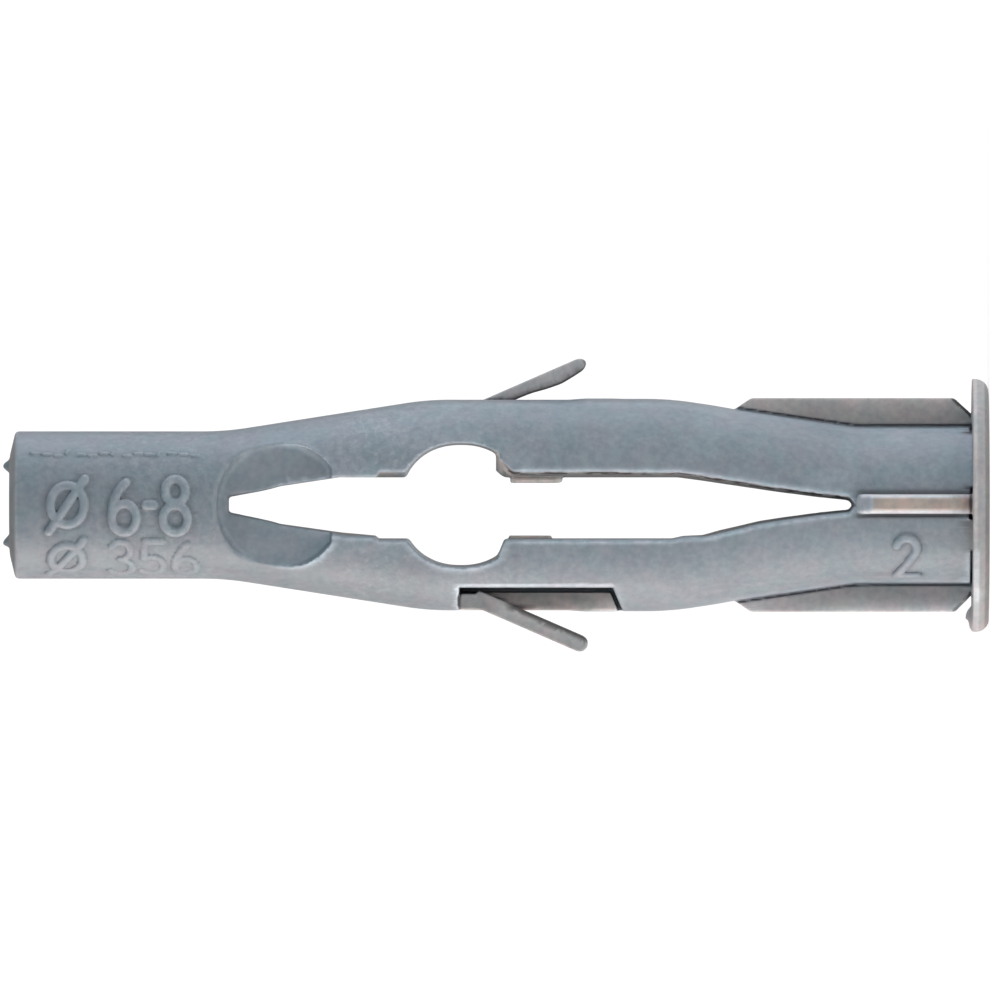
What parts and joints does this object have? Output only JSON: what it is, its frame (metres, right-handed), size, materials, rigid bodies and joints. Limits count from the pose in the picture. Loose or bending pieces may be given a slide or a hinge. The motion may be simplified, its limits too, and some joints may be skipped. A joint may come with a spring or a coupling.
{
  "type": "nylon wall plug",
  "caption": "Grey nylon expansion wall plug with a thin collar, spreading legs, barb tongues and anti-rotation fins; it takes a wood screw in a drilled wall hole.",
  "frame": {"origin": "middle of the collar's outer face, on which the plug stands", "axes": "+Z along the plug from the collar to its tip, +X across the plug in the direction in which the legs spread, +Y through the slit, away from the picture's camera"},
  "size_m": [0.0106, 0.009, 0.0353],
  "materials": {
    "nylon": "fine spark-eroded texture, slightly translucent polyamide"
  },
  "bodies": {
    "root": {"plug": "nylon"}
  },
  "joints": []
}
